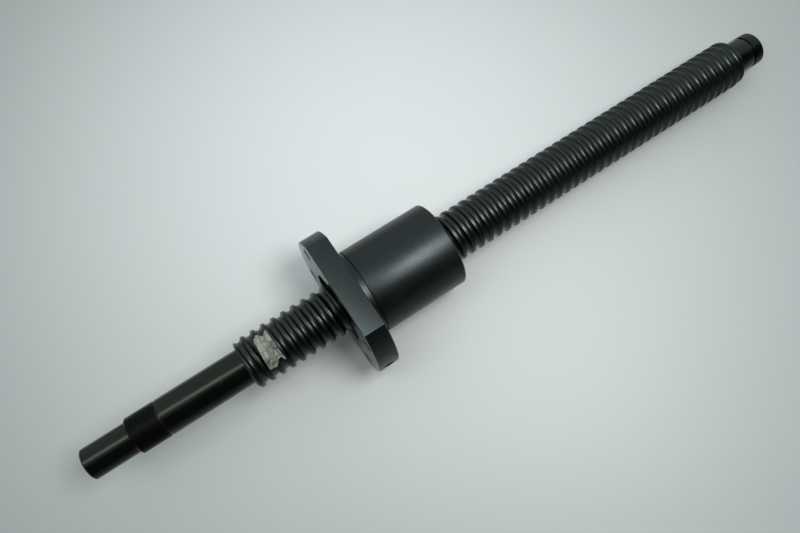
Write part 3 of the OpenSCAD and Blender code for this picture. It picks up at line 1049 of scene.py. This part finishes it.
# The torn edges, each from one corner to the next, as points of
# (place along the shaft in millimetres, degrees round it from the +Y side)
TEAR_FAR = (
    (-57.8, 71), (-57.0, 63), (-55.5, 57.5), (-54.2, 58.5), (-53.6, 64.5), (-52.2, 69),
    (-51.2, 63), (-50.2, 56), (-49.7, 61),
)
TEAR_NEAR = (
    (-58.1, 135.5), (-57.4, 139), (-55.9, 139.5), (-54.3, 142), (-53.1, 138), (-52.2, 132),
    (-51.2, 128), (-50.2, 128.5), (-49.2, 136), (-48.5, 136.5),
)
TEAR_DRIVE_SIDE = (
    (-57.8, 71), (-57.5, 82), (-57.7, 94), (-57.9, 111), (-58.1, 127), (-58.1, 135.5),
)
TEAR_NUT_SIDE = (
    (-49.7, 61), (-49.5, 77), (-49.5, 94), (-49.3, 108), (-48.8, 121), (-48.5, 136.5),
)
LABEL_CREST = -10  # the crest under the label, counted from the one beside GROOVE_X
LABEL_STEPS = (72, 120)  # parts of the sheet along the shaft and round it
PAPER = 0.1  # thickness of the paper in millimetres
STUCK = 0.06  # how far off the crest the paper sticks
SAG = 0.34  # how deep it sinks into the groove
CURL = 0.22  # rise or dip of its free edge, for each millimetre past the crest
CURL_WAVES, CURL_START = 2.4, 92  # waves of the curl in one turn, and where one begins
DROOP = 0.06  # how much the free edge hangs, for each millimetre past the crest
CREASES = (  # height, grains to a millimetre along the shaft, degrees to a grain, layer
    (0.05, 1.1, 22, 3),
    (0.03, 3, 9, 8),
)
STUCK_CREASE = 0.3  # the share of the creases that is left where the paper sticks
RAGGED = 0.22  # how far its torn edges stray
RAGGED_GRAINS = 0.9  # to a millimetre along the shaft, and to a degree round it
TURN_RAGGED = 4  # how many degrees they stray round the shaft for a millimetre along it


def along(points, share):
    """The point at a share of the way along a line through evenly spaced points."""
    place = min(max(share, 0), 1) * (len(points) - 1)
    k = min(int(place), len(points) - 2)
    return Vector(points[k]).lerp(Vector(points[k + 1]), place - k)


def label_place(across, down):
    """Where a point of the sheet lies on the unrolled shaft, by its shares between the edges."""
    edges = along(TEAR_FAR, across) * (1 - down) + along(TEAR_NEAR, across) * down
    sides = along(TEAR_DRIVE_SIDE, down) * (1 - across) + along(TEAR_NUT_SIDE, down) * across
    far = Vector(TEAR_FAR[0]) * (1 - across) + Vector(TEAR_FAR[-1]) * across
    near = Vector(TEAR_NEAR[0]) * (1 - across) + Vector(TEAR_NEAR[-1]) * across
    return edges + sides - far * (1 - down) - near * down


def label_radius(sizes, x, angle):
    """How far off the axis the sheet lies: stuck to crests, sagging between, free edge curled."""
    lead, crest_r = sizes.lead / MM, sizes.screw_d / 2 / MM
    half_crest = lead / 2 - sizes.groove_r / MM
    past_crest = x - (GROOVE_X + lead * (LABEL_CREST + 0.5 + angle / 360)) - half_crest
    groove_w = lead - 2 * half_crest
    sag = SAG * math.sin(math.pi * past_crest / groove_w) if past_crest > 0 else 0
    free = max(0, -past_crest - 2 * half_crest)
    wave = math.sin(math.radians(CURL_WAVES * (angle - CURL_START)))
    curl = free * (CURL * wave - DROOP)
    crease = sum(
        height * noise.noise(Vector((x * grains, angle / width, layer)))
        for height, grains, width, layer in CREASES
    )
    if sag <= 0 and free <= 0:
        crease *= STUCK_CREASE
    return crest_r + STUCK - max(sag, 0) + curl + crease


class BALLSCREW_OT_label(bpy.types.Operator):
    """Adds what is left of the torn label: a sheet over one crest and the groove beside it"""

    bl_idname = "ballscrew.label"
    bl_label = "Add Torn Label"

    def execute(self, context):
        sizes = context.scene.ball_screw_sizes
        deselect_all()
        across, down = LABEL_STEPS
        bpy.ops.mesh.primitive_grid_add(x_subdivisions=across, y_subdivisions=down, size=1)
        piece = context.object
        piece.name = piece.data.name = "torn_label"
        for vertex in piece.data.vertices:
            place = label_place(vertex.co.x + 0.5, vertex.co.y + 0.5)
            spot = place * RAGGED_GRAINS
            stray, turn_stray = (noise.noise(Vector((*spot, layer))) for layer in (1, 5))
            x, angle = place + Vector((stray, TURN_RAGGED * turn_stray)) * RAGGED
            r = label_radius(sizes, x, angle)
            turn = math.radians(angle)
            vertex.co = Vector((x, r * math.cos(turn), r * math.sin(turn))) * MM
        tidy_open(piece)
        apply_modifier(piece, "SOLIDIFY", thickness=PAPER * MM, offset=1)
        look = context.scene.ball_screw_look
        paper = torn_paper(tuple(look.paper), tuple(look.smudge))
        finish_piece(piece, "screw", paper, ["label_remnant"], angle=60)
        return {"FINISHED"}


# Table, light and camera

FLOOR_AT_ORIGIN = -30.0  # height of the table below the flange's seating face, in millimetres
FLOOR_RISE = 16.0 / 264.5  # the shaft's end lies on the table, and so does the flange
TABLE_SIZE = 6.0  # in metres
PAINTED_LIGHT_MIDDLE = (50, 105, 0)  # where the painted pool of light on the table is brightest, in its own millimetres
# how far the painted pool of light reaches, in millimetres
PAINTED_LIGHT_REACH = 362
PAINTED_RIM_DIMMING = (0.44, 0.465, 0.455)  # how far the painted falloff of light darkens the table's colour towards the rim of the view
LAMP_COLOUR = (0.97, 1, 0.99)
LAMP_HEIGHT = 0.62  # in metres
LAMPS = (  # name, place over the table and size in metres, power in watts, turn in degrees
    ("overhead_left", (-0.28, 0.085), (0.46, 0.14), 0.72, -24),
    ("overhead_right", (0.185, -0.165), (0.23, 0.26), 3.4, 6),
)
ROOM = (  # the room's brightness from the viewer's side to the far side
    (0.32, (0.09, 0.1, 0.1, 1)),
    (0.49, (0.86, 0.93, 0.94, 1)),
)
CAMERA_PLACE = Vector((-0.0431, -0.0888, 0.3518))
CAMERA_TURN = (17.977, -1.468, -33.765)
CAMERA_LENS = 30.93


def area_light(name, place, size, power, turn):
    """A rectangular lamp that faces straight down, turned by some degrees in its own plane."""
    lamp = bpy.data.lights.new(name, "AREA")
    lamp.shape = "RECTANGLE"
    lamp.size, lamp.size_y = size
    lamp.energy = power
    lamp.color = LAMP_COLOUR
    made = bpy.data.objects.new(name, lamp)
    made.location = (*place, LAMP_HEIGHT)
    made.rotation_euler.z = math.radians(turn)
    bpy.context.scene.collection.objects.link(made)


def room_light():
    """The room that the black surfaces mirror: pale behind the table, dark by the viewer."""
    world = bpy.data.worlds.new("room")
    room = Layout(world)
    towards = room.node("ShaderNodeTexCoord").outputs["Generated"]
    axes = room.node("ShaderNodeSeparateXYZ", {}, {0: towards})
    depth = Value(room, axes.outputs["Y"]) * 0.5 + 0.5
    ramp = room.node("ShaderNodeValToRGB", {"stops": ROOM}, {0: depth})
    sky = room.node("ShaderNodeBackground", {}, {"Color": ramp.outputs["Color"]})
    room.node("ShaderNodeOutputWorld", {}, {"Surface": sky.outputs[0]})
    bpy.context.scene.world = world


class BALLSCREW_OT_stage(bpy.types.Operator):
    """Adds the pale table, the soft light and the camera"""

    bl_idname = "ballscrew.stage"
    bl_label = "Add Table, Light and Camera"

    def execute(self, context):
        deselect_all()
        bpy.ops.mesh.primitive_plane_add(size=TABLE_SIZE)
        table = context.object
        table.name = table.data.name = "table_top"
        table.rotation_euler = (0, -math.atan(FLOOR_RISE), 0)
        table.location = (0, 0, FLOOR_AT_ORIGIN * MM)
        colour = tuple(context.scene.ball_screw_look.table)
        finish = Finish("pale_table", colour, 0.5)
        # painted pool of light and its falloff: the table's colour darkens from a bright middle
        # towards the rim of the view
        painted_falloff = 1 - finish.near(PAINTED_LIGHT_MIDDLE, PAINTED_LIGHT_REACH) + (finish.noise(9, 3) - 0.5) * 0.05
        edge = tuple(a * b for a, b in zip(colour, PAINTED_RIM_DIMMING))
        finish.set("Base Color", finish.mix(painted_falloff, colour, edge))
        table.data.materials.append(finish.material)
        for lamp in LAMPS:
            area_light(*lamp)
        room_light()
        eye = bpy.data.cameras.new("photo_camera")
        eye.lens = CAMERA_LENS
        camera = bpy.data.objects.new("photo_camera", eye)
        camera.location = CAMERA_PLACE
        camera.rotation_euler = Euler([math.radians(a) for a in CAMERA_TURN], "XYZ")
        context.scene.collection.objects.link(camera)
        context.scene.camera = camera
        context.scene.view_settings.view_transform = "Standard"
        return {"FINISHED"}


class BALLSCREW_PT_panel(bpy.types.Panel):
    """Lists the steps that build the ball screw"""

    bl_label = "Ball Screw"
    bl_idname = "BALLSCREW_PT_panel"
    bl_space_type = "VIEW_3D"
    bl_region_type = "UI"
    bl_category = "Ball Screw"

    def draw(self, context):
        for group in (context.scene.ball_screw_sizes, context.scene.ball_screw_look):
            for name in type(group).__annotations__:
                self.layout.prop(group, name)
        for step in STEPS:
            self.layout.operator(step.bl_idname)


STEPS = (
    BALLSCREW_OT_shaft,
    BALLSCREW_OT_nut,
    BALLSCREW_OT_seals,
    BALLSCREW_OT_ball_return,
    BALLSCREW_OT_label,
    BALLSCREW_OT_stage,
)
GROUPS = (BallScrewSizes, BallScrewLook)


def register():
    """Adds the classes, and the sizes and colours, to Blender."""
    for kind in (*GROUPS, *STEPS, BALLSCREW_PT_panel):
        bpy.utils.register_class(kind)
    bpy.types.Scene.ball_screw_sizes = bpy.props.PointerProperty(type=BallScrewSizes)
    bpy.types.Scene.ball_screw_look = bpy.props.PointerProperty(type=BallScrewLook)


def unregister():
    """Takes them out again."""
    del bpy.types.Scene.ball_screw_look
    del bpy.types.Scene.ball_screw_sizes
    for kind in (BALLSCREW_PT_panel, *reversed(STEPS), *reversed(GROUPS)):
        bpy.utils.unregister_class(kind)


def main():
    """Builds the whole scene."""
    register()
    bpy.ops.ballscrew.shaft()
    bpy.ops.ballscrew.nut()
    bpy.ops.ballscrew.seals()
    bpy.ops.ballscrew.ball_return()
    bpy.ops.ballscrew.label()
    bpy.ops.ballscrew.stage()


if __name__ == "__main__":
    main()
